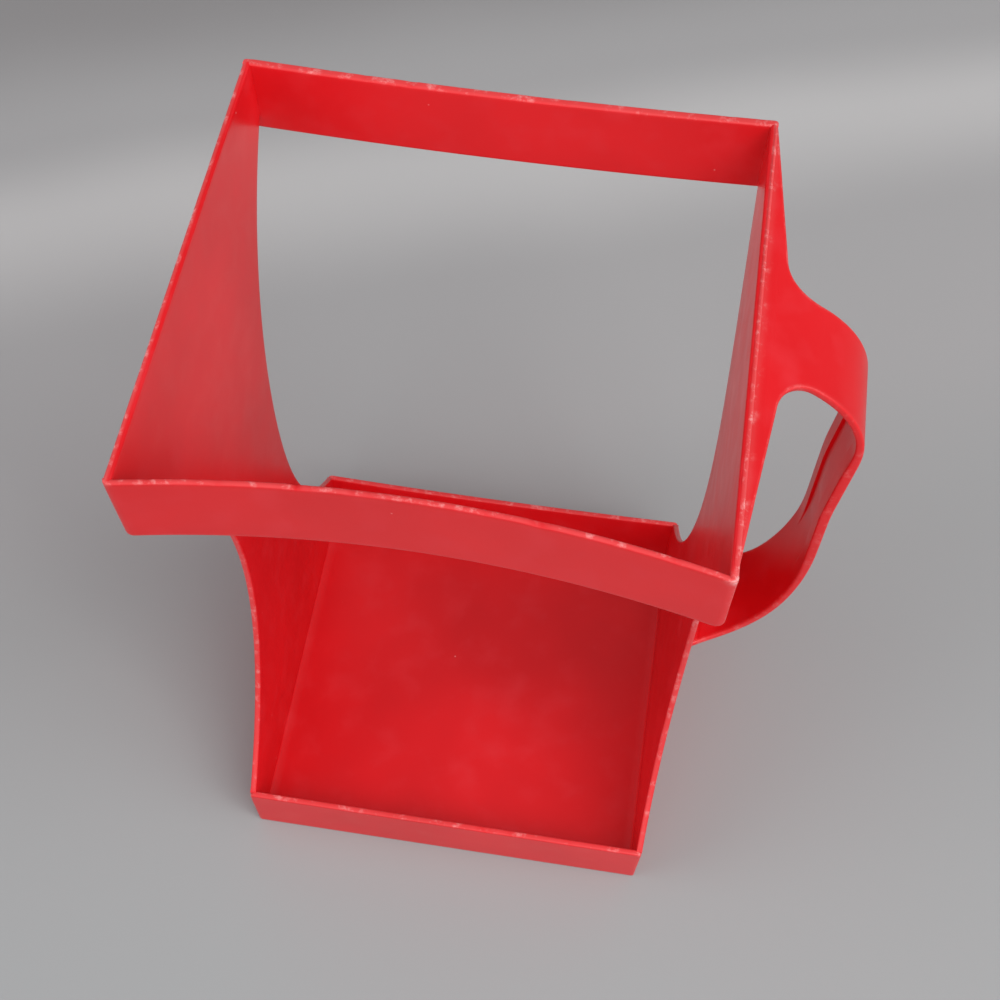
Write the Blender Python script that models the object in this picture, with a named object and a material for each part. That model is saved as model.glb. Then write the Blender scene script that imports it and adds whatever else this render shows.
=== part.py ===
"""Milk carton carrier: a holder for a half-gallon gable-top carton, moulded in red plastic.

A low tray and a slightly wider collar are joined by two hourglass side walls. A flat strap leaves
the right wall's top edge, bends down to make the grip, and comes back to that wall at its waist.

Metres, +Z up, +X towards the handle, -Y towards the viewer. The origin is the centre of the
base's underside. Every wall is drawn as its outer face, and its thickness lies behind that face.
"""

import math

import bmesh
import bpy
from mathutils import Vector

# Overall sizes, outside
HEIGHT = 0.1800
BASE_WIDTH = 0.1020
BASE_DEPTH = 0.0984
COLLAR_WIDTH = 0.1086
COLLAR_DEPTH = 0.1030

# Thicknesses, the clearance between pieces and the rounding of free edges
WALL = 0.0015
FLOOR = 0.0020
GAP = 0.0003
EDGE_RADIUS = 0.0004

# Low walls of the tray
FRONT_RIM_HEIGHT = 0.0191
BACK_RIM_HEIGHT = 0.0193
BACK_RIM_BOW = 0.0006
RIM_CORNER_RADIUS = 0.0015

# Bands of the collar, which bow inward to grip the carton. Use has racked the front one: its
# right end stands this far forward of square, and its left end as far back. It has also spread the
# corner at that left end, which stands this far out to the side.
FRONT_BAND_HEIGHT = 0.0187
BACK_BAND_HEIGHT = 0.0178
FRONT_BAND_WALL = 0.0012
BACK_BAND_WALL = 0.0018
FRONT_BAND_BOW = 0.0055
BACK_BAND_BOW = 0.0011
FRONT_BAND_CORNER_RADIUS = 0.0020
BACK_BAND_CORNER_RADIUS = 0.0012
FRONT_RACK = 0.0010
FRONT_LEFT_SPREAD = 0.0007

# Hourglass side walls: each edge is one arc from the rim's top to where it meets the collar band
WAIST_WIDTH = 0.0348
COLLAR_JOIN = 0.0140
LEFT_WALL_BOW = -0.0016
RIGHT_WALL_BOW = 0.0022

# Handle: it hangs from the collar's top edge, this far down to the foot's underside. Then how far
# the upright part of the strap stands out, and the strap's width and thickness. Use has skewed it:
# its top stands this far behind the middle.
HANDLE_HEIGHT = 0.1085
HANDLE_REACH = 0.0222
HANDLE_WIDTH = 0.0196
HANDLE_WALL = 0.0016
HANDLE_SKEW = 0.0008

# Top bend: a quarter of an ellipse. The strap stands further out at its end than at the grip, and
# leans in from there to the knee, over this much height.
TOP_BEND_RUN = 0.0293
TOP_BEND_DROP = 0.0255
GRIP_LEAN = 0.0018
GRIP_LEAN_DROP = 0.0225
GRIP_KNEE = HEIGHT - TOP_BEND_DROP - GRIP_LEAN_DROP

# Shoulder: a flange that tapers from blunt tips at the collar's corners to the strap
SHOULDER_INSET = 0.0040
SHOULDER_TIP = 0.0004
SHOULDER_REACH = 0.0047
SHOULDER_FILLET = 0.0075
SHOULDER_DROP = 0.0050

# Grip: a thin web with a rib along each edge of its inner face
GRIP_WEB = 0.0011
RIB_WIDTH = 0.0045
RIB_HEIGHT = 0.0011
RIB_END = 0.0015

# Foot: the strap's lower bend is a quarter of an ellipse, and the foot's solid ends part of the way
# up it. Towards the wall its edges curve outward, and each gains the flare there.
FOOT_RUN = 0.0200
FOOT_RISE = 0.0450
FOOT_SPLIT = 0.0340
FOOT_FLARE = 0.0046
FOOT_FLARE_RADIUS = 0.0300
FOOT_HEIGHT = HEIGHT - HANDLE_HEIGHT
FOOT_TOP = FOOT_HEIGHT + FOOT_SPLIT

# Steps along the curves
ARC_STEPS = 28
BOW_STEPS = 24
CORNER_STEPS = 5
BEND_STEPS = 12
EDGE_STEPS = 2
SHARP_ANGLE = math.radians(40)

# Colours, linear, and the gloss of the plastic
FLOOR_RED = (0.64, 0.016, 0.022)
WALL_RED = (0.55, 0.010, 0.016)
BAND_RED = (0.58, 0.014, 0.022)
HANDLE_RED = (0.66, 0.020, 0.020)
PLASTIC_ROUGHNESS = 0.32

LEFT, RIGHT = -1, 1
FRONT, BACK = -1, 1


def clear_scene():
    """Empties the file, so that the carrier is all it holds."""
    for old in list(bpy.data.objects):
        bpy.data.objects.remove(old)


def plastic(name, colour):
    """A moulded plastic: one colour, fairly glossy, not metallic."""
    material = bpy.data.materials.new(name + "_plastic")
    material.use_nodes = True
    shader = material.node_tree.nodes["Principled BSDF"]
    shader.inputs["Base Color"].default_value = (*colour, 1.0)
    shader.inputs["Roughness"].default_value = PLASTIC_ROUGHNESS
    shader.inputs["Metallic"].default_value = 0.0
    return material


def surface_through(rows):
    """A surface of quads through the rows of points."""
    surface = bmesh.new()
    grid = [[surface.verts.new(point) for point in row] for row in rows]
    for lower, upper in zip(grid, grid[1:]):
        for near, far, far_up, near_up in zip(lower, lower[1:], upper[1:], upper):
            surface.faces.new((near, far, far_up, near_up))
    return surface


def piece_from(name, surface, colour):
    """A named object with its own plastic, made from the surface."""
    mesh = bpy.data.meshes.new(name)
    surface.to_mesh(mesh)
    surface.free()
    mesh.materials.append(plastic(name, colour))
    piece = bpy.data.objects.new(name, mesh)
    bpy.context.collection.objects.link(piece)
    return piece


def round_edges(piece, thickness):
    """Rounds the sharp edges of a finished solid, within a third of its thickness."""
    bevel = piece.modifiers.new("Rounded edges", "BEVEL")
    bevel.width = min(EDGE_RADIUS, thickness / 3)
    bevel.segments = EDGE_STEPS
    bevel.limit_method = "ANGLE"
    bevel.angle_limit = SHARP_ANGLE


def plate(name, rows, inward, colour):
    """A plate whose outer face runs through the rows, moved inward by a vector for its thickness."""
    solid = surface_through(rows)
    inner = bmesh.ops.extrude_face_region(solid, geom=solid.faces[:])["geom"]
    inner_corners = [part for part in inner if isinstance(part, bmesh.types.BMVert)]
    bmesh.ops.translate(solid, vec=inward, verts=inner_corners)
    bmesh.ops.recalc_face_normals(solid, faces=solid.faces[:])
    round_edges(piece_from(name, solid, colour), Vector(inward).length)


def strap(name, rows, thickness, colour):
    """A bent strip of even thickness, whose outer face runs through the rows."""
    piece = piece_from(name, surface_through(rows), colour)
    wall = piece.modifiers.new("Wall", "SOLIDIFY")
    wall.thickness = thickness
    wall.offset = -1
    wall.use_even_offset = True
    round_edges(piece, thickness)


def arc_through(start, end, depth, steps):
    """Points of the arc from start to end that stands off their chord by depth, to its right."""
    chord = end - start
    half = chord.length / 2
    radius = (half**2 + depth**2) / (2 * depth)
    ahead = chord.normalized()
    aside = Vector((ahead.y, -ahead.x))
    centre = (start + end) / 2 - aside * (radius - depth)
    sweep = math.atan2(half, radius - depth)
    angles = [sweep * (2 * step / steps - 1) for step in range(steps + 1)]
    return [centre + radius * (ahead * math.sin(a) + aside * math.cos(a)) for a in angles]


def rounded_corner(before, corner, after, radius, steps):
    """Points of the arc that rounds the corner between two straight lines, touching both."""
    back = (before - corner).normalized()
    ahead = (after - corner).normalized()
    half_angle = back.angle(ahead) / 2
    centre = corner + (back + ahead).normalized() * radius / math.sin(half_angle)
    first = corner + back * radius / math.tan(half_angle) - centre
    last = corner + ahead * radius / math.tan(half_angle) - centre
    turn = math.pi - 2 * half_angle
    shares = [step / steps for step in range(steps + 1)]
    return [
        centre + (first * math.sin((1 - s) * turn) + last * math.sin(s * turn)) / math.sin(turn)
        for s in shares
    ]


def face_depth(facing, share, z):
    """Distance from the middle to the front or back face, at this share of the width from -1 to 1."""
    spread = (BASE_DEPTH + (COLLAR_DEPTH - BASE_DEPTH) * z / HEIGHT) / 2
    rack = FRONT_RACK * share * z / HEIGHT if facing == FRONT else 0
    return spread + rack


def half_width(z):
    """Distance from the middle to the corners, which spreads evenly from base to collar."""
    return (BASE_WIDTH + (COLLAR_WIDTH - BASE_WIDTH) * z / HEIGHT) / 2


def left_spread(facing, share, z):
    """Extra x of the front left corner: nothing at the base, and all of the spread at the collar."""
    return FRONT_LEFT_SPREAD * share * z / HEIGHT if facing == FRONT and share < 0 else 0


def side_face(side, z):
    """X of a side wall's outer face: it bows between base and collar, and meets both in line."""
    bow = LEFT_WALL_BOW if side == LEFT else RIGHT_WALL_BOW
    return side * (half_width(z) + bow * math.sin(math.pi * z / HEIGHT) ** 2)


def make_floor():
    """The flat plate that the carton stands on, inside the tray's four walls."""
    x = BASE_WIDTH / 2 - WALL - GAP
    y = BASE_DEPTH / 2 - WALL - GAP
    rows = [[(-x, edge, FLOOR), (x, edge, FLOOR)] for edge in (-y, y)]
    plate("base_floor", rows, (0, 0, -FLOOR), FLOOR_RED)


def across(corner_radius, middle_steps):
    """Shares across a plate from -1 to 1, closer together where its free corners are rounded."""
    turns = [math.pi / 2 * step / CORNER_STEPS for step in range(CORNER_STEPS + 1)]
    corner = [1 - corner_radius * (1 - math.cos(turn)) / (COLLAR_WIDTH / 2) for turn in turns]
    inner = corner[-1]
    middle = [inner * (1 - 2 * step / middle_steps) for step in range(1, middle_steps)]
    right_to_left = corner + middle + [-share for share in reversed(corner)]
    return list(reversed(right_to_left))


def corner_rise(share, corner_radius):
    """How far the free edge draws back at this share of the width, to round the corner."""
    from_end = (1 - abs(share)) * COLLAR_WIDTH / 2
    within = max(corner_radius - from_end, 0)
    return corner_radius - math.sqrt(max(corner_radius**2 - within**2, 0))


def inward_bow(share, bow):
    """A parabola across the plate, from nothing at the side walls to the full bow in the middle."""
    between_walls = abs(share) / (1 - WALL / (COLLAR_WIDTH / 2))
    return bow * max(1 - between_walls**2, 0)


def cross_wall(name, facing, edges, bows, thickness, corner_radius, colour):
    """A wall across the front or back, corners included.

    edges are the heights of its bottom and top edges, and bows the inward bow at each of them. Its
    free edge, with rounded corners, is a rim's top or a band's bottom.
    """
    free_edge = 1 if edges[0] == 0 else 0
    middle_steps = BOW_STEPS if max(bows) > 0 else 1
    shares = across(corner_radius, middle_steps)
    rows = []
    for level in (0, 1):
        row = []
        for share in shares:
            rise = corner_rise(share, corner_radius) if level == free_edge else 0
            z = edges[level] + (rise if level == 0 else -rise)
            y = face_depth(facing, share, z) - inward_bow(share, bows[level])
            x = half_width(z) * share + left_spread(facing, share, z)
            row.append((x, facing * y, z))
        rows.append(row)
    plate(name, rows, (0, -facing * thickness, 0), colour)


def wall_edge(side, facing, rim_height, band_wall):
    """One edge of a side wall, bottom to top. It stands inside the rim and the band, with a gap."""

    def inside(z, thickness):
        return Vector((face_depth(facing, side, z) - thickness - GAP, z))

    low = inside(rim_height, WALL)
    high = inside(HEIGHT - COLLAR_JOIN, band_wall)
    depth = (low.x + high.x) / 2 - WAIST_WIDTH / 2
    downward = arc_through(high, low, depth, ARC_STEPS)
    outline = [inside(0, WALL), *reversed(downward), inside(HEIGHT, band_wall)]
    return [
        (side_face(side, z) + left_spread(facing, side, z), facing * y, z) for y, z in outline
    ]


def front_edge(side):
    """The edge of a side wall towards the viewer."""
    return wall_edge(side, FRONT, FRONT_RIM_HEIGHT, FRONT_BAND_WALL)


def back_edge(side):
    """The edge of a side wall away from the viewer."""
    return wall_edge(side, BACK, BACK_RIM_HEIGHT, BACK_BAND_WALL)


def make_side_wall(name, side):
    """An hourglass wall, from the base to the collar's top edge."""
    rows = list(zip(front_edge(side), back_edge(side)))
    plate(name, rows, (-side * WALL, 0, 0), WALL_RED)


def strap_row(x, z, outer, inner=None):
    """One row across the skewed strap, from one distance from its middle to the other."""
    middle = HANDLE_SKEW * (z - FOOT_HEIGHT) / (HEIGHT - FOOT_HEIGHT)
    return [(x, middle + y, z) for y in (outer, -outer if inner is None else inner)]


def grip_face():
    """X of the strap's outer face at the upright part of the grip."""
    return COLLAR_WIDTH / 2 + HANDLE_REACH


def strap_x(z):
    """X of the strap's outer face below the top bend: leaning in, upright, then the lower bend."""
    above = max(z - GRIP_KNEE, 0) / (HEIGHT - TOP_BEND_DROP - GRIP_KNEE)
    below = max(FOOT_HEIGHT + FOOT_RISE - z, 0) / FOOT_RISE
    return grip_face() + GRIP_LEAN * above - FOOT_RUN * (1 - math.sqrt(1 - below**2))


def shoulder_rows():
    """Outer face of the flange along the collar, its two fillets and the strap's top bend."""
    root = side_face(RIGHT, HEIGHT) + GAP
    bend_x = grip_face() + GRIP_LEAN - TOP_BEND_RUN
    bend_z = HEIGHT - TOP_BEND_DROP

    corner = Vector((root + SHOULDER_REACH, HANDLE_WIDTH / 2))
    tip_width = COLLAR_DEPTH / 2 - SHOULDER_INSET
    wing_tip = Vector((root + SHOULDER_TIP, tip_width))
    strap_end = Vector((grip_face(), HANDLE_WIDTH / 2))
    fillet = rounded_corner(wing_tip, corner, strap_end, SHOULDER_FILLET, BEND_STEPS // 2)

    rows = []
    for x, half_strap in [(root, tip_width), wing_tip, *fillet]:
        turn = math.asin(max(x - bend_x, 0) / TOP_BEND_RUN)
        rows.append(strap_row(x, bend_z + TOP_BEND_DROP * math.cos(turn), half_strap))

    first = turn
    for step in range(1, BEND_STEPS + 1):
        turn = first + (math.pi / 2 - first) * step / BEND_STEPS
        x = bend_x + TOP_BEND_RUN * math.sin(turn)
        rows.append(strap_row(x, bend_z + TOP_BEND_DROP * math.cos(turn), HANDLE_WIDTH / 2))
    end = bend_z - SHOULDER_DROP
    rows.append(strap_row(strap_x(end), end, HANDLE_WIDTH / 2))
    return rows


def grip_heights(end):
    """Heights down the grip, stopping short of both its ends by the given length."""
    top = HEIGHT - TOP_BEND_DROP - SHOULDER_DROP - GAP - end
    bend = FOOT_HEIGHT + FOOT_RISE
    bottom = FOOT_TOP + GAP + end
    return [top, GRIP_KNEE, bend, (bend + bottom) / 2, bottom]


def make_grip():
    """The thin web of the strap's upright part."""
    rows = [strap_row(strap_x(z), z, HANDLE_WIDTH / 2) for z in grip_heights(0)]
    strap("handle_grip", rows, GRIP_WEB, HANDLE_RED)


def make_rib(name, facing):
    """A rib along one edge of the grip's inner face."""
    outer = HANDLE_WIDTH / 2
    inner = outer - RIB_WIDTH
    ends = (-inner, -outer) if facing == FRONT else (outer, inner)
    behind_web = GRIP_WEB + GAP
    rows = [strap_row(strap_x(z) - behind_web, z, *ends) for z in grip_heights(RIB_END)]
    strap(name, rows, RIB_HEIGHT, HANDLE_RED)


def foot_point(turn):
    """X and Z of the foot's outer face, a turn of the ellipse down from where the grip is upright."""
    x = grip_face() - FOOT_RUN * (1 - math.cos(turn))
    return x, FOOT_HEIGHT + FOOT_RISE * (1 - math.sin(turn))


def foot_rows():
    """Outer face of the strap's lower bend, down to the flared flange that joins it to the wall."""
    root = side_face(RIGHT, FOOT_HEIGHT + HANDLE_WALL) + GAP
    bend_x = grip_face() - FOOT_RUN
    flare_sweep = math.acos(1 - FOOT_FLARE / FOOT_FLARE_RADIUS)
    flare_x = root + FOOT_FLARE_RADIUS * math.sin(flare_sweep)

    rows = []
    first = math.asin((FOOT_HEIGHT + FOOT_RISE - FOOT_TOP) / FOOT_RISE)
    last = math.acos((flare_x - bend_x) / FOOT_RUN)
    for step in range(BEND_STEPS):
        x, z = foot_point(first + (last - first) * step / BEND_STEPS)
        rows.append(strap_row(x, z, HANDLE_WIDTH / 2))

    for step in range(BEND_STEPS + 1):
        turn = flare_sweep * step / BEND_STEPS
        x = flare_x - FOOT_FLARE_RADIUS * math.sin(turn)
        z = foot_point(math.acos(max(x - bend_x, 0) / FOOT_RUN))[1]
        half_strap = HANDLE_WIDTH / 2 + FOOT_FLARE_RADIUS * (1 - math.cos(turn))
        rows.append(strap_row(x, z, half_strap))
    return rows


def make_tray():
    """The floor and the low walls in front of and behind the carton."""
    make_floor()
    front = (0, FRONT_RIM_HEIGHT)
    back = (0, BACK_RIM_HEIGHT)
    back_bows = (0, BACK_RIM_BOW)
    cross_wall("front_rim", FRONT, front, (0, 0), WALL, RIM_CORNER_RADIUS, WALL_RED)
    cross_wall("back_rim", BACK, back, back_bows, WALL, RIM_CORNER_RADIUS, WALL_RED)


def make_collar():
    """The two bands that hold the carton's upper part between the side walls."""
    front = (HEIGHT - FRONT_BAND_HEIGHT, HEIGHT)
    back = (HEIGHT - BACK_BAND_HEIGHT, HEIGHT)
    front_bows = (FRONT_BAND_BOW, FRONT_BAND_BOW)
    back_bows = (BACK_BAND_BOW, BACK_BAND_BOW)
    radius = FRONT_BAND_CORNER_RADIUS
    cross_wall("front_collar_band", FRONT, front, front_bows, FRONT_BAND_WALL, radius, BAND_RED)
    radius = BACK_BAND_CORNER_RADIUS
    cross_wall("back_collar_band", BACK, back, back_bows, BACK_BAND_WALL, radius, BAND_RED)


def make_handle():
    """The strap, in the four members that its bends and its ribbed grip divide it into."""
    strap("handle_shoulder", shoulder_rows(), HANDLE_WALL, HANDLE_RED)
    make_grip()
    make_rib("handle_grip_front_rib", FRONT)
    make_rib("handle_grip_back_rib", BACK)
    strap("handle_foot", foot_rows(), HANDLE_WALL, HANDLE_RED)


clear_scene()
make_tray()
make_side_wall("left_side_panel", LEFT)
make_side_wall("right_side_panel", RIGHT)
make_collar()
make_handle()
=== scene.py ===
"""Milk carton carrier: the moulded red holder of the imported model, dressed for the camera.

Each piece is worked out as a grid of points, closed into a solid and put where its own part of the
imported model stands. Metres, +Z up, +X towards the handle, -Y towards the viewer.
"""

import math

import bpy
import numpy as np
from mathutils import Euler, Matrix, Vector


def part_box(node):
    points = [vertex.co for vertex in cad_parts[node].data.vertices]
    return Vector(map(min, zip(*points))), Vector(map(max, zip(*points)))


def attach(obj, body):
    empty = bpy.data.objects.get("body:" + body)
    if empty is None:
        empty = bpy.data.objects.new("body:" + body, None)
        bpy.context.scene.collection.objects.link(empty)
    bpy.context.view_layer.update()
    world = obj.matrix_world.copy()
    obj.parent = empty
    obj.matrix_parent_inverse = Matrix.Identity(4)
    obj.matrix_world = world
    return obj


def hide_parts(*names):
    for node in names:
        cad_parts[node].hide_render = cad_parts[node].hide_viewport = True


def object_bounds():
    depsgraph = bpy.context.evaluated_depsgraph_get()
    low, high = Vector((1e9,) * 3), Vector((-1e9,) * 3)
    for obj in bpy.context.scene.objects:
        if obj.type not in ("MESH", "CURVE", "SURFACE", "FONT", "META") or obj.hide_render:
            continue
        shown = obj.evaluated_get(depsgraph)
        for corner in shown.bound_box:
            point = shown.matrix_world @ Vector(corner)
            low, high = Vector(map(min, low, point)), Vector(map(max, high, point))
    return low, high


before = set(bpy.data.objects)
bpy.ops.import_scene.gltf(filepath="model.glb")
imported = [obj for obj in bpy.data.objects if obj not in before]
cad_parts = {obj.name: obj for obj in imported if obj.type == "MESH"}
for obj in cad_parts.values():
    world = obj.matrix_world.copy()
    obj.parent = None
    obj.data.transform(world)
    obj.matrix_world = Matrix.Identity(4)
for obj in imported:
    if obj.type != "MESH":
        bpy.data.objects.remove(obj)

bl_info = {
    "name": "Milk Carton Carrier",
    "version": (1, 0, 0),
    "blender": (4, 5, 0),
    "location": "View3D > Sidebar > Carrier",
    "description": "Builds a moulded milk carton carrier and its studio",
    "category": "Object",
}

CAD_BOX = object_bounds()

LEFT, RIGHT = -1, 1
FRONT, BACK = -1, 1

# Points along each flat side of a section, and round each of its corners
BAND_POINTS, WALL_POINTS, STRAP_POINTS = 24, 48, 90
ROUND_POINTS = 4

# Distance from one ring of points to the next
FLOOR_SPACING, BAND_SPACING, WALL_SPACING, STRAP_SPACING = 0.0020, 0.0012, 0.0011, 0.0004

# How far a piece reaches into its neighbour, how far the strap reaches into the wall, the rounding
# that is left on edges that lie in a neighbour, and the gap between the floor and the paper
BURIED = 0.0006
BITE = 0.0009
HAIRLINE = 0.00003
LIFT = 0.00002

# How sharply a band's or rim's end turns to the bowed side wall, as a power of the share
END_POWER = 12

# Wear along the edges, as shares of the whitest: a band's or rim's free edge, a band's top edge
# (where the pale line is partly knock wear and partly a painted highlight of the rounded edge), a
# rim's foot, the upright corners, the waist's arcs, the strap's edges, and the flange at the wall
FREE_WEAR, TOP_EDGE_WEAR_AND_HIGHLIGHT, FOOT_WEAR, CORNER_WEAR = 0.8, 1.0, 0.2, 0.4
WAIST_WEAR, STRAP_WEAR, FLANGE_WEAR = 0.7, 0.35, 0.6

# Distances within which an edge, an upright corner and the flange at the wall are worn
EDGE_REACH, CORNER_REACH, FLANGE_REACH = 0.00028, 0.0006, 0.0008

# Nicks of each edge: seed, number, and depth of the deepest
NICKS = {
    "front_rim": (11, 26, 0.00022),
    "back_rim": (12, 14, 0.00010),
    "left_wall": (21, 18, 0.00012),
    "right_wall": (22, 34, 0.00020),
    "front_band": (31, 44, 0.00025),
    "back_band": (32, 24, 0.00015),
}

# Range of a nick's width, and the least of its depth's share before that is squared
NICK_WIDTHS = (0.0003, 0.0011)
LEAST_NICK = 0.15

# Corners that take most knocks: place, reach and strength
KNOCKS = (
    ((0.0543, -0.0525, 0.1800), 0.0016, 1.6),
    ((-0.0550, -0.0505, 0.1800), 0.0009, 0.9),
    ((0.0543, 0.0515, 0.1800), 0.0008, 0.5),
    ((0.0510, -0.0492, 0.0191), 0.0008, 0.8),
)

# Pale line on the side walls' outer face, partly knock wear and partly a painted highlight of the
# rounded top edge: distance below the top edge, reach and strength
PALE_LINE_WEAR_AND_HIGHLIGHT = (0.00015, 0.00022, 1.8)

# Soft boxes: name, place, size and watts. All face the carrier's middle.
SOFT_BOXES = (
    ("key_softbox", (0.70, -0.60, 1.30), 0.9, 10.5),
    ("front_softbox", (-0.10, -1.70, 0.80), 1.2, 4.6),
    ("left_softbox", (-1.30, -0.40, 0.90), 1.0, 6.0),
    ("right_softbox", (1.30, -0.30, 0.90), 1.0, 6.5),
)
LIT_POINT = (0.0, 0.0, 0.08)

# Strength of the light that comes from all around
SURROUND_STRENGTH = 1.13

# Camera, as fitted to the photographed edges: place, turn, and focal length in sensor widths
CAMERA_PLACE = (0.0317435, -0.1741047, 0.4091283)
CAMERA_TURN = (0.5236511, -0.0060747, 0.1533190)
CAMERA_FOCUS = 1.555608
SENSOR_WIDTH = 36.0


def linear(hex_colour):
    """The linear RGB of an sRGB hex colour: each channel c becomes ((c + 0.055) / 1.055) ^ 2.4."""
    channels = [int(hex_colour[i : i + 2], 16) / 255 for i in (1, 3, 5)]
    return tuple(
        c / 12.92 if c <= 0.04045 else ((c + 0.055) / 1.055) ** 2.4 for c in channels
    )


def length(name, description, default):
    """A length in metres that a user can change."""
    return bpy.props.FloatProperty(
        name=name, description=description, default=default, min=0.0, precision=5, unit="LENGTH"
    )


def colour(name, description, hex_colour):
    """A colour that a user can change."""
    return bpy.props.FloatVectorProperty(
        name=name,
        description=description,
        default=linear(hex_colour),
        min=0.0,
        max=1.0,
        size=3,
        subtype="COLOR",
    )


class CARRIER_PG_sizes(bpy.types.PropertyGroup):
    """Sizes of the tray, the collar, the walls between them and the handle."""

    height: length("Height", "From the table to the collar's top edge", CAD_BOX[1].z)
    base_width: length("Base width", "Width over the tray's side walls", 0.1020)
    base_depth: length("Base depth", "Depth over the tray's rims", 0.0984)
    collar_width: length("Collar width", "Width over the collar's side walls", 0.1086)
    collar_depth: length("Collar depth", "Depth over the collar's bands", 0.1030)
    wall: length("Wall", "Thickness of the side walls and the rims", 0.0015)
    floor: length("Floor", "Thickness of the tray's floor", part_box("base_floor")[1].z)
    front_rim: length("Front rim", "Height of the tray's front rim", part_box("front_rim")[1].z)
    back_rim: length("Back rim", "Height of the tray's back rim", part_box("back_rim")[1].z)
    front_band: length("Front band", "Height of the collar's front band", 0.0187)
    back_band: length("Back band", "Height of the collar's back band", 0.0178)
    front_band_wall: length("Front band wall", "Thickness of the front band", 0.0012)
    back_band_wall: length("Back band wall", "Thickness of the back band", 0.0018)
    front_bow: length("Front bow", "How far the front band bows inward", 0.0055)
    back_bow: length("Back bow", "How far the back band bows inward", 0.0011)
    rack: length("Rack", "How far the front band's ends stand out of square", 0.0010)
    spread: length("Spread", "How far the front left corner stands out to the side", 0.0007)
    waist: length("Waist", "Width of the side walls where they are narrowest", 0.0348)
    left_bow: length("Left bow", "How far the left wall bows inward", 0.0016)
    right_bow: length("Right bow", "How far the right wall bows outward", 0.0022)
    rim_bow: length("Back rim bow", "How far the back rim's top edge bows inward", 0.0006)
    join: length("Join", "How far below the top edge the waist's arcs end", 0.0140)
    edge: length("Edge", "Radius of the rounding of the free edges", 0.0005)
    corner: length("Corner", "Radius of the upright outer corners", 0.0007)
    rim_corner: length("Rim corners", "Radius of the rims' two upper corners", 0.0015)
    left_corner: length("Left corner", "Radius of the front band's lower left corner", 0.0014)
    right_corner: length("Right corner", "Radius of the front band's lower right corner", 0.0024)
    back_corner: length("Back corners", "Radius of the back band's two lower corners", 0.0012)
    fillet: length("Fillet", "Radius of the fillet between the floor and the walls", 0.0005)
    strap_width: length("Strap width", "Width of the handle's strap", 0.0196)
    strap_wall: length("Strap wall", "Thickness of the strap's flanges and bends", 0.0016)
    reach: length("Reach", "How far the upright part of the grip stands out", 0.0222)
    skew: length("Skew", "How far use has pushed the handle's top backward", 0.0008)
    top_run: length("Top run", "How far outward the top bend runs", 0.0293)
    top_drop: length("Top drop", "How far down the top bend reaches", 0.0255)
    lean: length("Lean", "How much further out the grip stands at its top", 0.0018)
    knee: length("Knee", "Height at which the leaning grip turns upright", 0.1320)
    foot_height: length("Foot height", "Height at which the foot meets the wall", 0.0715)
    foot_run: length("Foot run", "How far towards the wall the foot's bend runs", 0.0200)
    foot_rise: length("Foot rise", "How far up the foot's bend reaches", 0.0450)
    flare: length("Flare", "What each edge of the foot gains at the wall", 0.0046)
    flare_radius: length("Flare radius", "Radius of the foot's widening edges", 0.0300)
    wing_inset: length("Wing inset", "How far the flange's tips stop before the corners", 0.0012)
    wing_reach: length("Wing reach", "How far out the flange's edges would meet the strap", 0.0052)
    wing_fillet: length("Wing fillet", "Radius between the flange and the strap", 0.0075)
    rib: length("Rib", "Width of the rib along each edge of the grip's inner face", 0.0046)
    rib_height: length("Rib height", "Height of both ribs above the strap", 0.0006)
    rib_step: length("Rib step", "Width of the slope beside each rib", 0.0006)
    rib_top: length("Rib top", "Height at which the ribs end", 0.1620)
    rib_foot: length("Rib foot", "Height at which the ribs begin", 0.1000)
    rib_fade: length("Rib fade", "Length over which the ribs rise at both ends", 0.0180)


class CARRIER_PG_colours(bpy.types.PropertyGroup):
    """Colours of the plastic, its wear and the studio, the paper's with painted light and shade.
    """

    plastic: colour("Plastic", "The plastic where it is clean", "#E5161E")
    deep: colour("Deep plastic", "The plastic where the colour lies denser", "#DA1119")
    scuffed: colour("Scuffed plastic", "The plastic where handling has dulled it", "#E63A42")
    # Also the pale line along the top edges, which is partly a painted highlight of the rounded
    # edges.
    whitened: colour("Whitened plastic", "Nicks and edges whitened by knocks", "#F2A3A0")
    paper_near: colour("Near paper", "The seamless paper in front of the carrier", "#A1A3A2")
    # Painted shade: the paper's colour is painted darker around and under the carrier.
    paper_painted_shade: colour("Dipped paper", "The paper where it dips under the carrier", "#9D9E9D")
    paper: colour("Paper", "The paper just behind the carrier", "#A4A3A2")
    # Painted highlight: a lighter band painted across the paper's colour where the paper still
    # lies flat.
    paper_painted_highlight: colour("Paper sheen", "The paper where it starts to rise to the light", "#BBBAB8")
    # Painted shade: the paper's colour is painted darker farthest behind.
    paper_far_painted_shade: colour("Far paper", "The paper farthest behind", "#8D8B8A")
    surround: colour("Surroundings", "The pale room around the paper", "#B4B4BA")


# Shapes of the walls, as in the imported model. In each function depth is the distance from the
# middle towards the front or back, share runs from -1 to 1 across the width, and z is the height.


def half_width(sizes, z):
    """Half the width at a height: a straight line from the base's to the collar's."""
    return (sizes.base_width + (sizes.collar_width - sizes.base_width) * z / sizes.height) / 2


def face_depth(sizes, facing, share, z):
    """Depth of the front or back face: a straight line in z, plus the front's rack times share."""
    whole = sizes.base_depth + (sizes.collar_depth - sizes.base_depth) * z / sizes.height
    rack = sizes.rack * share * z / sizes.height if facing == FRONT else 0.0
    return whole / 2 + rack


def wall_bow(sizes, side, z):
    """Outward bow of a side wall: its greatest value times the sine squared of pi z / height."""
    bow = sizes.right_bow if side == RIGHT else -sizes.left_bow
    return bow * np.sin(math.pi * z / sizes.height) ** 2


def side_face(sizes, side, z):
    """X of a side wall's outer face, before the front left corner's spread."""
    return side * (half_width(sizes, z) + wall_bow(sizes, side, z))


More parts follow.
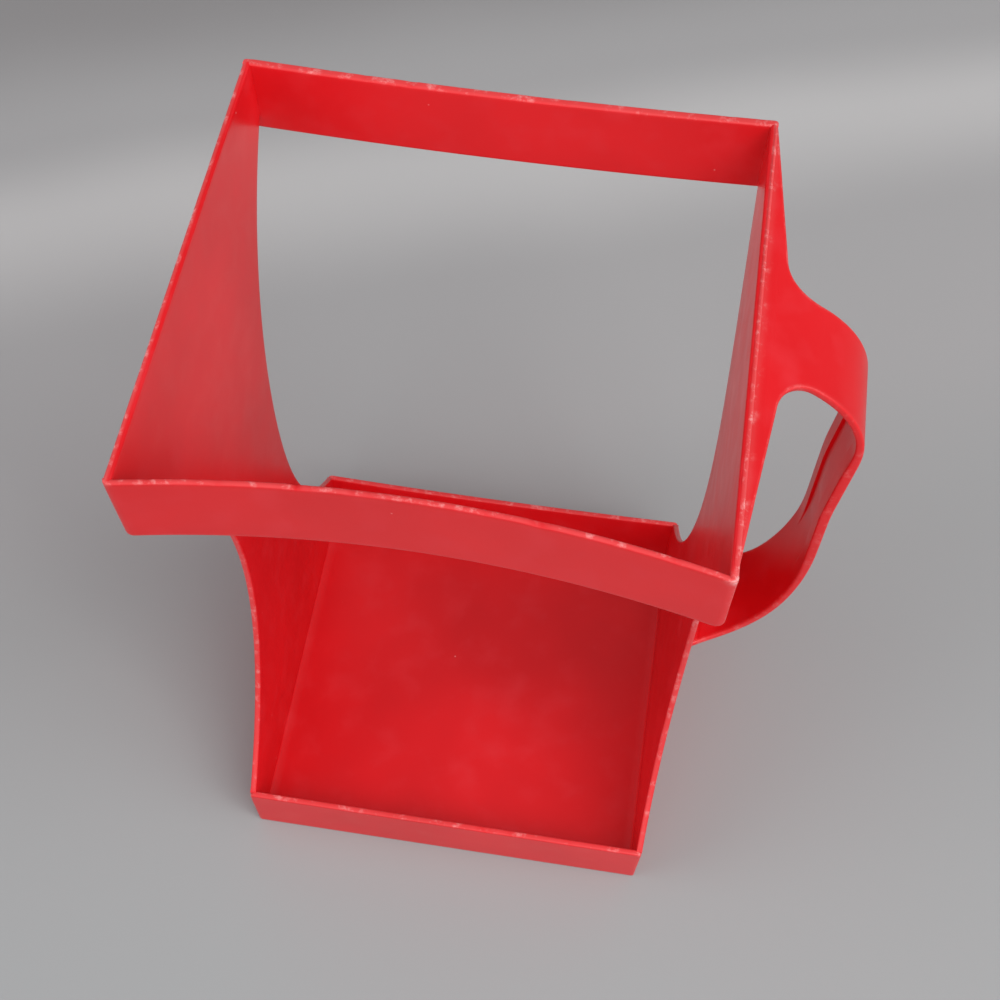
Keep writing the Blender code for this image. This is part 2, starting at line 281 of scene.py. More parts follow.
def left_spread(sizes, towards_front, share, z):
    """Extra x of the front left corner: nothing at the base, the full spread at the collar."""
    return sizes.spread * np.minimum(share, 0) * towards_front * z / sizes.height


def cross_bow(sizes, share):
    """Share of an inward bow: a parabola across the width, zero at the side walls."""
    between = np.abs(share) / (1 - 2 * sizes.wall / sizes.collar_width)
    return np.clip(1 - between**2, 0, None)


# Building blocks of the solids


def round_off(distance, radius):
    """How far a face draws back near its rounded edge: the radius less a circle's rise."""
    within = np.clip(radius - distance, 0, radius)
    return radius - np.sqrt(radius**2 - within**2)


def smooth_step(value):
    """A smooth rise from 0 to 1: 3 v^2 - 2 v^3, with v held between 0 and 1."""
    v = np.clip(value, 0, 1)
    return v * v * (3 - 2 * v)


def stations(start, end, spacing, start_radius=0.0, end_radius=0.0):
    """Places along a piece, evenly spaced, and closer by the cosine where an end is rounded."""
    turn = np.linspace(0, math.pi / 2, ROUND_POINTS + 1)
    first = start + start_radius * (1 - np.cos(turn)) if start_radius else np.array([start])
    last = end - end_radius * (1 - np.cos(turn[::-1])) if end_radius else np.array([end])
    count = max(int(round((last[0] - first[-1]) / spacing)), 1)
    return np.concatenate([first, np.linspace(first[-1], last[0], count + 1)[1:-1], last])


def section(flat_points):
    """A rounded rectangle, once round, as four arrays.

    A point lies at along * (half - radius) + reach * radius across the width, and at
    deep * (thickness - 2 radius) + (1 + sink) * radius below the outer face.
    """
    flat = np.linspace(-1, 1, flat_points + 1)[1:-1]
    turn = np.linspace(0, math.pi / 2, ROUND_POINTS + 1)
    sine, cosine = np.sin(turn), np.cos(turn)
    one = np.ones_like(turn)
    still = np.ones_like(flat)
    along = np.concatenate([flat, one, one, -flat, -one, -one])
    reach = np.concatenate([0 * flat, sine, cosine, 0 * flat, -sine, -cosine])
    deep = np.concatenate([0 * flat, 0 * one, one, still, one, 0 * one])
    sink = np.concatenate([-still, -cosine, sine, still, cosine, -sine])
    return along, reach, deep, sink


def closed_solid(name, rings, wear):
    """An object whose skin joins each ring of points to the next and closes both ends.

    rings is an array of rings x points x 3, and wear one value for each point. The faces are
    turned so that the volume under them, the sum of a . (b x c) / 6 over their triangles, is
    positive.
    """
    count, around = rings.shape[:2]
    index = np.arange(count * around).reshape(count, around)
    after = np.roll(index, -1, axis=1)
    quads = np.stack([index[:-1], after[:-1], after[1:], index[1:]], axis=-1).reshape(-1, 4)
    points = rings.reshape(-1, 3)
    a, b, c, d = (points[quads[:, corner]] for corner in range(4))
    volume = (a * np.cross(b, c)).sum() + (a * np.cross(c, d)).sum()
    caps = [index[0][::-1], index[-1]]
    if volume < 0:
        quads, caps = quads[:, ::-1], [cap[::-1] for cap in caps]

    mesh = bpy.data.meshes.new(name)
    mesh.from_pydata(points.tolist(), [], quads.tolist() + [cap.tolist() for cap in caps])
    mesh.attributes.new("wear", "FLOAT", "POINT").data.foreach_set(
        "value", np.ascontiguousarray(wear, dtype=np.float32).ravel()
    )
    mesh.shade_smooth()
    mesh.set_sharp_from_angle(angle=math.radians(35))
    mesh.validate()
    piece = bpy.data.objects.new(name, mesh)
    bpy.context.scene.collection.objects.link(piece)
    return piece


def dress(piece, *nodes):
    """Gives the piece its plastic, and its place in the model instead of these nodes."""
    piece.data.materials.append(red_polypropylene())
    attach(piece, "root")
    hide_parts(*nodes)


def nicks(places, seed, count, depth):
    """Small notches along an edge: Gaussian dips of seeded places, widths and depths."""
    chance = np.random.default_rng(seed)
    low, high = places.min(), places.max()
    centres = chance.uniform(low, high, count)
    widths = chance.uniform(*NICK_WIDTHS, count)
    depths = depth * chance.uniform(LEAST_NICK, 1.0, count) ** 2
    away = (np.asarray(places)[..., None] - centres) / widths
    return (depths * np.exp(-(away**2))).sum(axis=-1)


def near_edge(distance, reach=EDGE_REACH):
    """Wear beside an edge: a Gaussian of the distance over the reach."""
    return np.exp(-((distance / reach) ** 2))


def knocked(points, wear):
    """Adds wear about the corners that take most knocks, as Gaussians of the distance to each."""
    for place, reach, strength in KNOCKS:
        away = np.linalg.norm(points - np.array(place), axis=-1)
        wear = wear + strength * near_edge(away, reach)
    return points, wear


# The plastic


def add_node(tree, kind, settings=None, inputs=None):
    """Adds a node, sets its properties, and fills its inputs with values or links."""
    node = tree.nodes.new(kind)
    for name, value in (settings or {}).items():
        setattr(node, name, value)
    for key, value in (inputs or {}).items():
        if isinstance(value, bpy.types.NodeSocket):
            tree.links.new(value, node.inputs[key])
        else:
            node.inputs[key].default_value = value
    return node


def noise(tree, place, size, detail, roughness=0.5):
    """Values of about 0 to 1 that rise and fall over distances of this size."""
    return add_node(
        tree,
        "ShaderNodeTexNoise",
        inputs={"Vector": place, "Scale": 1 / size, "Detail": detail, "Roughness": roughness},
    ).outputs["Fac"]


def stretch(tree, value, found, wanted):
    """Carries the range found to the range wanted, evenly, and holds what lies beyond it."""
    ends = {"From Min": found[0], "From Max": found[1], "To Min": wanted[0], "To Max": wanted[1]}
    return add_node(tree, "ShaderNodeMapRange", inputs={"Value": value, **ends}).outputs["Result"]


def blend(tree, share, first, second):
    """The first colour, and by this share the second."""
    return add_node(
        tree,
        "ShaderNodeMix",
        {"data_type": "RGBA"},
        {"Factor": share, "A": first, "B": second},
    ).outputs["Result"]


def red_polypropylene():
    """Injection-moulded red polypropylene, polished in the mould and dulled by use.

    Gives the eye a deep, even red under a clear waxy gloss, fine upright draw marks that streak
    the reflections, faint clouding from handling, specks, and edges whitened by knocks, whose pale
    line along the top edges is partly a painted highlight.
    """
    name = "Injection moulded red polypropylene"
    if name in bpy.data.materials:
        return bpy.data.materials[name]
    tints = bpy.context.scene.carrier_colours
    wall = bpy.context.scene.carrier_sizes.collar_width / 2
    material = bpy.data.materials.new(name)
    material.use_nodes = True
    tree = material.node_tree
    shader = tree.nodes["Principled BSDF"]
    shader.inputs["IOR"].default_value = 1.49
    shader.inputs["Metallic"].default_value = 0.0

    place = add_node(tree, "ShaderNodeTexCoord").outputs["Object"]
    wear = add_node(tree, "ShaderNodeAttribute", {"attribute_name": "wear"}).outputs["Fac"]

    # Colour clouds some 35 mm across, as the melt lays its pigment down
    cloud = stretch(tree, noise(tree, place, 0.035, 2.0), (0.35, 0.65), (0.0, 1.0))
    base = blend(tree, cloud, (*tints.deep, 1), (*tints.plastic, 1))

    # Handling scuffs: soft patches of up to 8 mm
    scuff = noise(tree, place, 0.008, 3.0)
    scuff_share = stretch(tree, scuff, (0.50, 0.75), (0.0, 0.30))
    scuffed = blend(tree, scuff_share, base, (*tints.scuffed, 1))

    # Specks of up to 0.5 mm, each in a cell of 9 mm; few of them come to the surface
    cells = add_node(tree, "ShaderNodeTexVoronoi", inputs={"Vector": place, "Scale": 1 / 0.009})
    speck_share = stretch(tree, cells.outputs["Distance"], (0.012, 0.030), (0.8, 0.0))
    specked = blend(tree, speck_share, scuffed, (*tints.whitened, 1))

    # Whitened edges, broken up every few millimetres; the least share leaves a faint continuous
    # pale line, which on the top edges is a painted highlight as well as knock wear
    chips = stretch(tree, noise(tree, place, 0.0030, 4.0, 0.75), (0.52, 0.68), (0.12, 0.70))
    whitening_and_highlight = add_node(
        tree, "ShaderNodeMath", {"operation": "MULTIPLY", "use_clamp": True}, {0: wear, 1: chips}
    ).outputs["Value"]
    final = blend(tree, whitening_and_highlight, specked, (*tints.whitened, 1))
    tree.links.new(final, shader.inputs["Base Color"])

    # Gloss: clear where clean, duller on scuffs and whitened edges
    gloss = stretch(tree, scuff, (0.3, 0.7), (0.29, 0.37))
    dulled = add_node(
        tree, "ShaderNodeMath", {"operation": "MULTIPLY_ADD"}, {0: whitening_and_highlight, 1: 0.3, 2: gloss}
    ).outputs["Value"]
    tree.links.new(dulled, shader.inputs["Roughness"])

    # Reflection: a worn skin reflects less than new, and least where the hand has rubbed the
    # grip, 12 to 19 mm out from the wall
    out = add_node(tree, "ShaderNodeSeparateXYZ", inputs={"Vector": place}).outputs["X"]
    sheen = stretch(tree, out, (wall + 0.012, wall + 0.019), (0.38, 0.16))
    tree.links.new(sheen, shader.inputs["Specular IOR Level"])

    # Draw marks: upright streaks some 4 mm apart and much longer, over a slightly uneven skin
    relief = 0.00005
    upright = add_node(
        tree,
        "ShaderNodeMapping",
        inputs={"Vector": place, "Scale": (1 / 0.0045, 1 / 0.0045, 1 / 0.15)},
    ).outputs["Vector"]
    streaks = add_node(
        tree,
        "ShaderNodeBump",
        inputs={"Strength": 0.25, "Distance": relief, "Height": noise(tree, upright, 1.0, 1.5)},
    ).outputs["Normal"]
    skin = add_node(
        tree,
        "ShaderNodeBump",
        inputs={"Strength": 0.3, "Distance": relief, "Height": scuff, "Normal": streaks},
    ).outputs["Normal"]
    tree.links.new(skin, shader.inputs["Normal"])
    return material


# The tray, the walls and the collar


def floor_rings(sizes):
    """The floor: a slab from rim to rim that rises into each wall by a quarter-circle fillet."""
    depth_room = sizes.base_depth / 2 - sizes.wall
    width_room = sizes.base_width / 2 - sizes.wall
    far_y, far_x = depth_room + BURIED, width_room + BURIED
    y = stations(-far_y, far_y, FLOOR_SPACING, 2 * BURIED, 2 * BURIED)
    x = stations(-far_x, far_x, FLOOR_SPACING, 2 * BURIED, 2 * BURIED)
    top_x, top_y = np.meshgrid(x, y)
    from_wall = np.minimum(width_room - np.abs(top_x), depth_room - np.abs(top_y))
    rise = round_off(np.clip(from_wall, 0, None), sizes.fillet)
    top = np.stack([top_x, top_y, sizes.floor + rise], axis=-1)
    under = np.stack([top_x, top_y, np.full_like(top_x, LIFT)], axis=-1)[:, ::-1]
    return np.concatenate([top, under], axis=1)


def cross_wall_rings(sizes, facing, low, high, bows, thickness, corner_radii, nick):
    """A band or rim across the front or back: a rounded section carried along the width.

    Its outer face lies at the face depth less the parabolic bow, which changes evenly from the
    first of the bows at its bottom to the second at its top. A band hangs free and has its two
    lower corners rounded, and a rim stands on the base and has its upper ones, by corner_radii,
    left and right. Both upright outer corners are rounded by the corner size.
    """
    hangs = low > 0
    half = sizes.collar_width / 2
    places = stations(-half, half, BAND_SPACING, *corner_radii)
    share = (places / half)[:, None]
    from_end = half - np.abs(places)[:, None]
    along, reach, deep, sink = section(BAND_POINTS)

    rise = np.where(share < 0, *(round_off(from_end, radius) for radius in corner_radii))
    bottom, top = (low + rise, high) if hangs else (low, high - rise)
    radius = sizes.edge
    z = (top + bottom) / 2 + along * ((top - bottom) / 2 - radius) + reach * radius
    z = z - nicks(places, *nick)[:, None] * np.clip(reach, 0, 1)

    drawn_back = round_off(from_end, sizes.corner)
    depth = deep * (thickness - 2 * radius) + (1 + sink) * radius
    depth = drawn_back + depth * (thickness - drawn_back) / thickness
    level = (z - low) / (high - low)
    bow = cross_bow(sizes, share) * (bows[0] + (bows[1] - bows[0]) * level)
    end_bow = np.where(share < 0, wall_bow(sizes, LEFT, z), wall_bow(sizes, RIGHT, z))
    x = share * half_width(sizes, z) + np.sign(share) * end_bow * np.abs(share) ** END_POWER
    x = x + left_spread(sizes, facing == FRONT, share, z)
    y = facing * (face_depth(sizes, facing, share, z) - bow - depth)

    if hangs:
        # The band's top edge is whitened both as knock wear and as a painted highlight of the
        # rounded edge.
        wear = FREE_WEAR * near_edge(z - bottom) + TOP_EDGE_WEAR_AND_HIGHLIGHT * near_edge(top - z)
    else:
        wear = FREE_WEAR * near_edge(top - z) + FOOT_WEAR * near_edge(z - bottom)
    wear = wear + CORNER_WEAR * near_edge(from_end, CORNER_REACH)
    return knocked(np.stack([x, y, z], axis=-1), wear)


def notch_edge(sizes, side, facing, rim_height, band_wall):
    """Depth of one edge of a side wall as a function of z.

    Straight behind the rim and the band, and between them one arc of a circle, which stands off
    the chord between its ends by what leaves the waist its width.
    """

    def behind(z, thickness):
        return face_depth(sizes, facing, side, z) - thickness + BURIED

    low = np.array([behind(rim_height, sizes.wall), rim_height])
    top = sizes.height - sizes.join
    high = np.array([behind(top, band_wall), top])
    chord = high - low
    half = np.hypot(*chord) / 2
    ahead = chord / (2 * half)
    towards_middle = np.array([-ahead[1], ahead[0]])
    depth = (low[0] + high[0]) / 2 - sizes.waist / 2
    radius = (half**2 + depth**2) / (2 * depth)
    centre = (low + high) / 2 - towards_middle * (radius - depth)

    def edge(z):
        arc = centre[0] - np.sqrt(np.clip(radius**2 - (z - centre[1]) ** 2, 0, None))
        below, above = behind(z, sizes.wall), behind(z, band_wall)
        return np.where(z < rim_height, below, np.where(z > top, above, arc))

    return edge


def side_wall_rings(sizes, side, nick):
    """An hourglass wall: a rounded section carried upward, as wide as its two edges stand apart.

    The rounding is whole on the free arcs and a hairline where the wall meets a rim or a band.
    """
    front = notch_edge(sizes, side, FRONT, sizes.front_rim, sizes.front_band_wall)
    back = notch_edge(sizes, side, BACK, sizes.back_rim, sizes.back_band_wall)
    z = stations(0.0, sizes.height, WALL_SPACING, sizes.edge, sizes.edge)[:, None]
    along, reach, deep, sink = section(WALL_POINTS)

    fade = 0.0008
    free = smooth_step((z - sizes.front_rim) / fade)
    free = free * smooth_step((sizes.height - sizes.join - z) / fade)
    radius = HAIRLINE + (sizes.edge - HAIRLINE) * free
    near, far = -front(z), back(z)
    y = (near + far) / 2 + along * ((far - near) / 2 - radius) + reach * radius

    top_round = round_off(sizes.height - z, sizes.edge)
    foot_round = round_off(z, sizes.edge)
    thickness = sizes.wall - 2 * top_round - foot_round
    depth = deep * (thickness - 2 * radius) + (1 + sink) * radius + top_round + foot_round
    towards_front = np.clip((far - y) / (far - near), 0, 1)
    x = side_face(sizes, side, z) - side * depth + left_spread(sizes, towards_front, side, z)
    nick_reach = 0.002
    lowered = nicks(y, *nick) * np.clip(1 - (sizes.height - z) / nick_reach, 0, 1)
    # The pale line just below the top edge is partly knock wear, partly a painted highlight of the
    # rounded top edge.
    line_depth, line_reach, line_strength = PALE_LINE_WEAR_AND_HIGHLIGHT
    on_pale_line_wear_and_highlight = near_edge(sizes.height - z - line_depth, line_reach) * (1 - deep)
    wear = WAIST_WEAR * free * near_edge(np.minimum(y - near, far - y))
    wear = wear + line_strength * on_pale_line_wear_and_highlight
    return knocked(np.stack([x, y, z - lowered], axis=-1), wear)


# The handle


def strap_path(sizes):
    """The line of the strap's outer face, from inside the wall's top to inside its waist.

    A quarter ellipse down, a straight lean in to the knee, an upright run, a second quarter
    ellipse back to the wall and a level run into it, laid end to end and sampled every half
    millimetre. The kinks between them are smoothed by a running mean. Returns distance, x, z and
    the outward normal.
    """
    steps, sample, blur = 120, 0.0005, 7
    grip = sizes.collar_width / 2 + sizes.reach
    bend_x, bend_z = grip + sizes.lean - sizes.top_run, sizes.height - sizes.top_drop
    inside_top = side_face(sizes, RIGHT, sizes.height) - BITE
    inside_foot = side_face(sizes, RIGHT, sizes.foot_height) - BITE
    turn = np.linspace(math.asin((inside_top - bend_x) / sizes.top_run), math.pi / 2, steps)
    fall = np.linspace(0, math.pi / 2, steps)[1:]
    x = np.concatenate(
        [
            bend_x + sizes.top_run * np.sin(turn),
            [grip, grip],
            grip - sizes.foot_run * (1 - np.cos(fall)),
            [inside_foot],
        ]
    )
    z = np.concatenate(
        [
            bend_z + sizes.top_drop * np.cos(turn),
            [sizes.knee, sizes.foot_height + sizes.foot_rise],
            sizes.foot_height + sizes.foot_rise * (1 - np.sin(fall)),
            [sizes.foot_height],
        ]
    )
    run = np.concatenate([[0], np.cumsum(np.hypot(np.diff(x), np.diff(z)))])
    s = np.linspace(0, run[-1], int(run[-1] / sample) + 1)
    x, z = np.interp(s, run, x), np.interp(s, run, z)
    window = np.ones(2 * blur + 1) / (2 * blur + 1)
    x[blur:-blur] = np.convolve(x, window, "valid")
    z[blur:-blur] = np.convolve(z, window, "valid")
    dx, dz = np.gradient(x, s), np.gradient(z, s)
    size = np.hypot(dx, dz)
    return s, x, z, -dz / size, dx / size


def shoulder_outline(sizes):
    """The flange's outline as x and half-width: blunt tip, wing, and fillet to the strap.

    The fillet is a circle that touches the wing and the strap. Its centre lies on the line that
    halves their angle, at the radius over the sine of half that angle from their corner.
    """
    wall = side_face(sizes, RIGHT, sizes.height)
    radius, steps, shallow = sizes.wing_fillet, 25, 0.0001
    tip = np.array([wall, sizes.collar_depth / 2 - sizes.wing_inset])
    corner = np.array([wall + sizes.wing_reach, sizes.strap_width / 2])
    back = (tip - corner) / np.hypot(*(tip - corner))
    ahead = np.array([1.0, 0.0])
    half_angle = math.acos(float(back @ ahead)) / 2
    middle = back + ahead
    centre = corner + middle / np.hypot(*middle) * radius / math.sin(half_angle)
    first = corner + back * radius / math.tan(half_angle)
    last = corner + ahead * radius / math.tan(half_angle)
    start = math.atan2(*(first - centre)[::-1])
    sweep = math.atan2(*(last - centre)[::-1]) - start
    sweep = (sweep + math.pi) % (2 * math.pi) - math.pi
    angles = start + sweep * np.linspace(0, 1, steps)
    arc = centre + radius * np.stack([np.cos(angles), np.sin(angles)], axis=-1)
    wing = tip + (first - tip) * np.linspace(0, 1, steps)[:-1, None]
    inside = np.array([[wall - BITE, tip[1]], [wall - shallow, tip[1]]])
    return np.concatenate([inside, wing, arc])


def strap_rings(sizes, outline_s, half):
    """A stretch of the strap: a rounded section carried along the path.

    outline_s and half are the outline's distances along the path and its half-widths. Each ring's
    rounding draws back along the outline's own normal. The grip's inner face rises by a smooth
    step to a flat rib along each edge, and the ribs fade out towards both ends.
    """
    s, path_x, path_z, normal_x, normal_z = strap_path(sizes)
    slope_s, slope_half = np.gradient(outline_s), np.gradient(half)
    size = np.hypot(slope_s, slope_half)
    out_s, out_y = -slope_half / size, slope_s / size
    along, reach, deep, sink = section(STRAP_POINTS)
    radius = sizes.edge
    inset = radius * (1 - np.abs(reach))
    place = outline_s[:, None] - out_s[:, None] * inset
    y = along * (half[:, None] - out_y[:, None] * inset)
    x = np.interp(place, s, path_x)
    z = np.interp(place, s, path_z)

    depth = deep * (sizes.strap_wall - 2 * radius) + (1 + sink) * radius
    from_edge = half[:, None] - np.abs(y)
    rib = sizes.rib_height * (1 - smooth_step((from_edge - sizes.rib) / sizes.rib_step))
    rib = rib * smooth_step((z - sizes.rib_foot) / sizes.rib_fade)
    rib = rib * smooth_step((sizes.rib_top - z) / sizes.rib_fade)
    depth = depth + rib * deep

    skew = sizes.skew * (z - sizes.foot_height) / (sizes.height - sizes.foot_height)
    x = x - np.interp(place, s, normal_x) * depth
    z = z - np.interp(place, s, normal_z) * depth
    wear = STRAP_WEAR * near_edge((1 - np.abs(along)) * half[:, None])
    at_wall = near_edge(x - side_face(sizes, RIGHT, sizes.height), FLANGE_REACH)
    wear = wear + FLANGE_WEAR * at_wall * (z > sizes.height - sizes.strap_wall)
    return np.stack([x, y + skew, z], axis=-1), wear


def strap_stretch(sizes, start, end):
    """Distances along the path and half-widths of the plain strap and of the foot's flare.

    Between start and end the half-width is the strap's. On the foot and within the flare's length
    of the wall it grows by a circle's rise, radius (1 - cos), to the flare at the wall.
    """
    s, path_x, path_z, _, _ = strap_path(sizes)
    places = stations(start, end, STRAP_SPACING)
    x = np.interp(places, s, path_x)
    z = np.interp(places, s, path_z)
    radius = sizes.flare_radius
    flare_length = radius * math.sin(math.acos(1 - sizes.flare / radius))
    from_flare = side_face(sizes, RIGHT, sizes.foot_height) + flare_length - x
    on_foot = z < sizes.foot_height + sizes.foot_rise
    within = np.where(on_foot, np.clip(from_flare, 0, flare_length), 0)
    return places, sizes.strap_width / 2 + radius - np.sqrt(radius**2 - within**2)


def distance_at(sizes, z):
    """Distance along the strap's path at a height below its top bend."""
    s, _, path_z, _, _ = strap_path(sizes)
    return float(np.interp(-z, -path_z, s))


class CARRIER_OT_floor(bpy.types.Operator):
    """Builds the flat floor of the tray"""

    bl_idname = "carrier.floor"
    bl_label = "Tray Floor"

    def execute(self, context):
        sizes = context.scene.carrier_sizes
        rings = floor_rings(sizes)
        floor = closed_solid("tray_floor", rings, np.zeros(rings.shape[:2]))
        dress(floor, "base_floor")
        return {"FINISHED"}


class CARRIER_OT_rims(bpy.types.Operator):
    """Builds the low walls in front of and behind the carton"""

    bl_idname = "carrier.rims"
    bl_label = "Tray Rims"

    def execute(self, context):
        sizes = context.scene.carrier_sizes
        corners = (sizes.rim_corner, sizes.rim_corner)
        rows = (
            ("front_rim", "tray_front_rim", FRONT, sizes.front_rim, (0, 0)),
            ("back_rim", "tray_back_rim", BACK, sizes.back_rim, (0, sizes.rim_bow)),
        )
        for node, name, facing, top, bows in rows:
            rings, wear = cross_wall_rings(
                sizes, facing, 0.0, top, bows, sizes.wall, corners, NICKS[node]
            )
            dress(closed_solid(name, rings, wear), node)
        return {"FINISHED"}


class CARRIER_OT_side_walls(bpy.types.Operator):
    """Builds the two hourglass side walls"""

    bl_idname = "carrier.side_walls"
    bl_label = "Side Walls"

    def execute(self, context):
        sizes = context.scene.carrier_sizes
        rings, wear = side_wall_rings(sizes, LEFT, NICKS["left_wall"])
        dress(closed_solid("hourglass_wall_left", rings, wear), "left_side_panel")
        rings, wear = side_wall_rings(sizes, RIGHT, NICKS["right_wall"])
        dress(closed_solid("hourglass_wall_right", rings, wear), "right_side_panel")
        return {"FINISHED"}


class CARRIER_OT_collar(bpy.types.Operator):
    """Builds the two bowed bands of the collar"""

    bl_idname = "carrier.collar"
    bl_label = "Collar Bands"

    def execute(self, context):
        sizes = context.scene.carrier_sizes
        top = sizes.height
        rings, wear = cross_wall_rings(
            sizes,
            FRONT,
            top - sizes.front_band,
            top,
            (sizes.front_bow, sizes.front_bow),
            sizes.front_band_wall,
            (sizes.left_corner, sizes.right_corner),
            NICKS["front_band"],
        )
        dress(closed_solid("collar_front", rings, wear), "front_collar_band")
        rings, wear = cross_wall_rings(
            sizes,
            BACK,
            top - sizes.back_band,
            top,
            (sizes.back_bow, sizes.back_bow),
            sizes.back_band_wall,
            (sizes.back_corner, sizes.back_corner),
            NICKS["back_band"],
        )
        dress(closed_solid("collar_back", rings, wear), "back_collar_band")
        return {"FINISHED"}


class CARRIER_OT_handle(bpy.types.Operator):
    """Builds the handle: its shoulder, its ribbed grip and its foot"""

    bl_idname = "carrier.handle"
    bl_label = "Strap Handle"

    def execute(self, context):
        sizes = context.scene.carrier_sizes
        s, path_x, _, _, _ = strap_path(sizes)
        shoulder_end = distance_at(sizes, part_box("handle_shoulder")[0].z)
        grip_end = distance_at(sizes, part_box("handle_foot")[1].z)

        outline = shoulder_outline(sizes)
        bend = slice(0, int(np.argmax(path_x)))
        wing_s = np.interp(outline[:, 0], path_x[bend], s[bend])
        rest_s, rest_half = strap_stretch(sizes, wing_s[-1], shoulder_end)
        rings, wear = strap_rings(
            sizes,
            np.concatenate([wing_s, rest_s[1:]]),
            np.concatenate([outline[:, 1], rest_half[1:]]),
        )
        dress(closed_solid("strap_shoulder", rings, wear), "handle_shoulder")

        rings, wear = strap_rings(sizes, *strap_stretch(sizes, shoulder_end, grip_end))
        ribs = ("handle_grip_front_rib", "handle_grip_back_rib")
        dress(closed_solid("strap_grip", rings, wear), "handle_grip", *ribs)

        rings, wear = strap_rings(sizes, *strap_stretch(sizes, grip_end, s[-1]))
        dress(closed_solid("strap_foot", rings, wear), "handle_foot")
        return {"FINISHED"}


# The studio


def seamless_paper():
    """Matt grey background paper, curving up behind the carrier.

    Gives the eye a pale grey with painted light and shade on it: painted shade under and around
    the carrier, one soft painted highlight band, and painted shade farthest behind.
    """
    tints = bpy.context.scene.carrier_colours
    material = bpy.data.materials.new("Matt seamless paper")
    material.use_nodes = True
    tree = material.node_tree
    shader = tree.nodes["Principled BSDF"]
    shader.inputs["Roughness"].default_value = 0.7
    place = add_node(tree, "ShaderNodeTexCoord").outputs["Object"]

    # Distance across the painted highlight band, whose line runs some 20 degrees off the width,
    # from 50 mm in front of the carrier's middle to 295 mm behind it. A slight noise moves it.
    turned = add_node(
        tree,
        "ShaderNodeMapping",
        inputs={"Vector": place, "Rotation": (0.0, 0.0, math.radians(-19.5))},
    ).outputs["Vector"]
    across = add_node(tree, "ShaderNodeSeparateXYZ", inputs={"Vector": turned}).outputs["Y"]
    waves = noise(tree, place, 0.12, 1.0)
    moved = add_node(
        tree, "ShaderNodeMath", {"operation": "MULTIPLY_ADD"}, {0: waves, 1: 0.02, 2: across}
    ).outputs["Value"]
    share = stretch(tree, moved, (-0.04, 0.305), (0.0, 1.0))
    # The ramp paints light and shade into the paper's colour: painted shade near the carrier, a
    # painted highlight band, painted shade far behind.
    ramp = add_node(tree, "ShaderNodeValToRGB", inputs={"Fac": share})
    ramp.color_ramp.interpolation = "EASE"
    stops = [
        (0.0, tints.paper_near),
        (0.23, tints.paper_painted_shade),
        (0.41, tints.paper),
        (0.55, tints.paper),
        (0.70, tints.paper_painted_highlight),
        (0.81, tints.paper),
        (1.0, tints.paper_far_painted_shade),
    ]
    for position, _ in stops[1:-1]:
        ramp.color_ramp.elements.new(position)
    for element, (position, tint) in zip(ramp.color_ramp.elements, stops):
        element.position = position
        element.color = (*tint, 1)
    tree.links.new(ramp.outputs["Color"], shader.inputs["Base Color"])
    return material


def paper_sweep(name):
    """A sheet that lies flat, turns up behind the carrier in a quarter circle and ends upright."""
    reach, top, radius, start = 3.0, 1.6, 0.35, 0.45
    turn = np.linspace(0, math.pi / 2, 33)
    y = np.concatenate([[-reach], start + radius * np.sin(turn), [start + radius]])
    z = np.concatenate([[0.0], radius * (1 - np.cos(turn)), [top]])
    rows = [np.stack([np.full_like(y, x), y, z], axis=-1) for x in (-reach, reach)]
    index = np.arange(len(y))
    quads = np.stack([index[:-1], index[:-1] + len(y), index[1:] + len(y), index[1:]], axis=-1)
    mesh = bpy.data.meshes.new(name)
    mesh.from_pydata(np.concatenate(rows).tolist(), [], quads.tolist())
    mesh.shade_smooth()
    sheet = bpy.data.objects.new(name, mesh)
    bpy.context.scene.collection.objects.link(sheet)
    return sheet


def soft_box(name, location, size, power):
    """A square area light that faces the carrier's middle.

    It is tipped by the angle between its way back to the light and the vertical, and then turned
    about the vertical to the light's own bearing.
    """
    lamp = bpy.data.lights.new(name, "AREA")
    lamp.shape = "SQUARE"
    lamp.size = size
    lamp.energy = power
    holder = bpy.data.objects.new(name, lamp)
    away = np.array(location) - np.array(LIT_POINT)
    tip = math.atan2(math.hypot(away[0], away[1]), away[2])
    holder.rotation_euler = Euler((tip, 0, math.atan2(away[0], -away[1])))
    holder.location = location
    bpy.context.scene.collection.objects.link(holder)


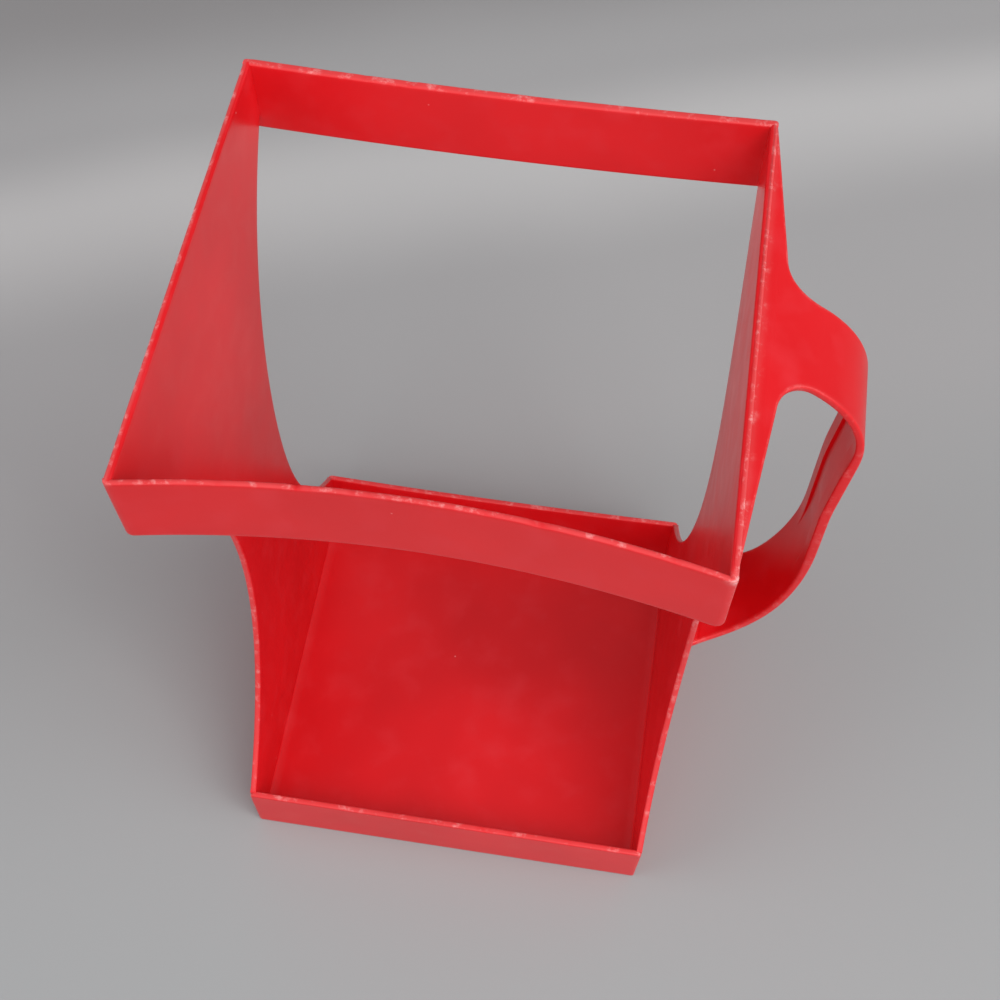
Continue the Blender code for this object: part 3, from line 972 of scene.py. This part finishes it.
class CARRIER_OT_stage(bpy.types.Operator):
    """Builds the floor, the lights and the camera"""

    bl_idname = "carrier.stage"
    bl_label = "Studio"

    def execute(self, context):
        scene = context.scene
        sheet = paper_sweep("paper_sweep")
        sheet.data.materials.append(seamless_paper())

        for name, place, size, power in SOFT_BOXES:
            soft_box(name, place, size, power)

        world = bpy.data.worlds.new("Studio walls")
        world.use_nodes = True
        room = world.node_tree.nodes["Background"]
        room.inputs["Color"].default_value = (*scene.carrier_colours.surround, 1)
        room.inputs["Strength"].default_value = SURROUND_STRENGTH
        scene.world = world

        lens = bpy.data.cameras.new("camera")
        lens.sensor_width = SENSOR_WIDTH
        lens.lens = SENSOR_WIDTH * CAMERA_FOCUS
        lens.clip_start = 0.01
        camera = bpy.data.objects.new("camera", lens)
        camera.location = CAMERA_PLACE
        camera.rotation_euler = Euler(CAMERA_TURN)
        scene.collection.objects.link(camera)
        scene.camera = camera
        scene.view_settings.view_transform = "Standard"
        return {"FINISHED"}


STEPS = (
    CARRIER_OT_floor,
    CARRIER_OT_rims,
    CARRIER_OT_side_walls,
    CARRIER_OT_collar,
    CARRIER_OT_handle,
    CARRIER_OT_stage,
)


class CARRIER_PT_sidebar(bpy.types.Panel):
    """Lists the carrier's pieces and its studio"""

    bl_idname = "CARRIER_PT_sidebar"
    bl_label = "Milk Carton Carrier"
    bl_space_type = "VIEW_3D"
    bl_region_type = "UI"
    bl_category = "Carrier"

    def draw(self, context):
        for step in STEPS:
            self.layout.operator(step.bl_idname)


CLASSES = (CARRIER_PG_sizes, CARRIER_PG_colours, *STEPS, CARRIER_PT_sidebar)


def register():
    """Makes the settings, the operators and the panel known."""
    for item in CLASSES:
        bpy.utils.register_class(item)
    bpy.types.Scene.carrier_sizes = bpy.props.PointerProperty(type=CARRIER_PG_sizes)
    bpy.types.Scene.carrier_colours = bpy.props.PointerProperty(type=CARRIER_PG_colours)


def unregister():
    """Takes them away again."""
    del bpy.types.Scene.carrier_sizes
    del bpy.types.Scene.carrier_colours
    for item in reversed(CLASSES):
        bpy.utils.unregister_class(item)


def main():
    """Builds every piece and the studio."""
    register()
    bpy.ops.carrier.floor()
    bpy.ops.carrier.rims()
    bpy.ops.carrier.side_walls()
    bpy.ops.carrier.collar()
    bpy.ops.carrier.handle()
    bpy.ops.carrier.stage()


if __name__ == "__main__":
    main()
